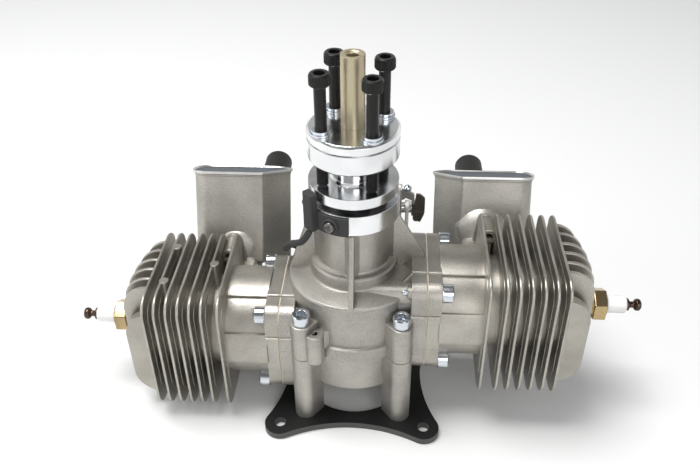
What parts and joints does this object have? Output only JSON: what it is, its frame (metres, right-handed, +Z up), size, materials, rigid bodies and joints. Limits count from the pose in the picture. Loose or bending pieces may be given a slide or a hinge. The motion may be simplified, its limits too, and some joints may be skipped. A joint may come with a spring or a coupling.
{
  "type": "flat twin two-stroke model aircraft engine",
  "caption": "Flat two-stroke aircraft engine with finned cylinders, rear silencers, propeller hub and mount plate, shaft up.",
  "frame": {"origin": "on the crank axis, at the underside of the mount plate", "axes": "+Z up along the crank axis to the propeller, +X along the right cylinder, +Y to the silencers and the carburettor"},
  "size_m": [0.2698, 0.1452, 0.1784],
  "materials": {
    "plate_laminate": "black laminate plate with raw brown-grey edges",
    "cast_case": "satin cast aluminium, fine grain",
    "cast_cylinder": "satin cast aluminium, fine grain",
    "turned_aluminium": "bright turned aluminium with fine rings",
    "muffler_shell": "dull welded aluminium sheet",
    "muffler_top": "dark dished lid with bright rim",
    "zinc_screws": "zinc plated steel",
    "black_screws": "black oxide steel",
    "yellow_zinc": "iridescent yellow zinc plating",
    "hard_steel": "ground hardened steel",
    "black_plastic": "moulded black plastic",
    "tube_black": "matte black high-temperature tube",
    "ceramic": "glazed white ceramic",
    "plug_steel": "plated plug steel",
    "copper": "copper sealing ring",
    "bronze": "brown bronze terminal",
    "gasket": "grey fibre gasket",
    "zinc_casting": "die-cast zinc alloy",
    "lead_sheath": "braided black sheath",
    "seal_rubber": "black nitrile rubber",
    "piston_alloy": "machined piston alloy",
    "petal_laminate": "thin reed laminate",
    "white_rod": "white nylon push rod"
  },
  "bodies": {
    "crankcase": {"mount_plate": "plate_laminate", "plate_screws": "zinc_screws", "leg_feet": "cast_case", "crankcase_rear": "cast_case", "crankcase_front": "cast_case", "case_screws": "zinc_screws", "bearing_outers": "hard_steel", "shaft_seal": "seal_rubber", "timing_ring": "turned_aluminium", "sensor_block": "black_plastic", "sensor_screws": "zinc_screws", "sensor_lead": "lead_sheath", "lead_plug": "black_plastic", "cylinder_left": "cast_cylinder", "cylinder_right": "cast_cylinder", "muffler_left": "muffler_shell", "muffler_right": "muffler_shell", "muffler_lids": "muffler_top", "outlet_tubes": "tube_black", "base_gaskets": "gasket", "cylinder_screws": "zinc_screws", "plug_shells": "plug_steel", "plug_insulators": "ceramic", "plug_terminals": "bronze", "plug_gaskets": "copper", "exhaust_gaskets": "gasket", "muffler_screws": "black_screws", "reed_block": "black_plastic", "reed_petals": "petal_laminate", "carb_insulator": "black_plastic", "carb_body": "zinc_casting", "carb_screws": "zinc_screws", "fuel_nipple": "yellow_zinc"},
    "crank": {"bearing_inners": "hard_steel", "prop_hub": "turned_aluminium", "drive_key": "hard_steel", "ignition_magnet": "hard_steel", "prop_washer": "turned_aluminium", "prop_bolts": "black_screws", "bolt_washers": "zinc_screws", "prop_sleeve": "yellow_zinc", "crankshaft_front": "hard_steel", "crank_middle_web": "hard_steel", "crankshaft_rear": "hard_steel"},
    "cage_left": {"big_end_cage_left": "hard_steel"},
    "cage_right": {"big_end_cage_right": "hard_steel"},
    "piston_left": {"crankpin_left": "hard_steel", "conrod_left": "hard_steel", "piston_left": "piston_alloy", "piston_rings_left": "hard_steel", "wrist_pin_left": "hard_steel"},
    "piston_right": {"crankpin_right": "hard_steel", "conrod_right": "hard_steel", "piston_right": "piston_alloy", "piston_rings_right": "hard_steel", "wrist_pin_right": "hard_steel"},
    "throttle": {"throttle_shaft": "hard_steel", "throttle_lever": "zinc_casting"},
    "throttle_rod": {"throttle_link": "white_rod"},
    "choke": {"choke_shaft": "black_plastic"}
  },
  "joints": [
    {"name": "crank_spin", "type": "hinge", "parent": "crankcase", "child": "crank", "pos_m": [0, 0, 0.047], "axis": [0, 0, 1], "continuous": true},
    {"name": "left_cage_turn", "type": "hinge", "parent": "crank", "child": "cage_left", "pos_m": [-0.0075, 0, 0.039], "axis": [0, 0, 1], "continuous": true},
    {"name": "right_cage_turn", "type": "hinge", "parent": "crank", "child": "cage_right", "pos_m": [0.0075, 0, 0.055], "axis": [0, 0, 1], "continuous": true},
    {"name": "left_stroke", "type": "hinge", "parent": "cage_left", "child": "piston_left", "pos_m": [-0.015, 0, 0.039], "axis": [0, 0, 1], "continuous": true},
    {"name": "right_stroke", "type": "hinge", "parent": "cage_right", "child": "piston_right", "pos_m": [0.015, 0, 0.055], "axis": [0, 0, 1], "continuous": true},
    {"name": "throttle_turn", "type": "hinge", "parent": "crankcase", "child": "throttle", "pos_m": [0, 0.0552, 0.06], "axis": [1, 0, 0], "range_deg": [0, 75]},
    {"name": "throttle_rod_swing", "type": "hinge", "parent": "throttle", "child": "throttle_rod", "pos_m": [0.025, 0.0556, 0.0716], "axis": [1, 0, 0], "range_deg": [-75, 0]},
    {"name": "choke_turn", "type": "hinge", "parent": "crankcase", "child": "choke", "pos_m": [0, 0.0684, 0.06], "axis": [1, 0, 0], "range_deg": [0, 75]}
  ],
  "couplings": [
    {"joint": "left_cage_turn", "follows": "crank_spin", "ratio": -2},
    {"joint": "right_cage_turn", "follows": "crank_spin", "ratio": -2},
    {"joint": "left_stroke", "follows": "crank_spin", "ratio": 1},
    {"joint": "right_stroke", "follows": "crank_spin", "ratio": 1},
    {"joint": "throttle_rod_swing", "follows": "throttle_turn", "ratio": -1}
  ]
}
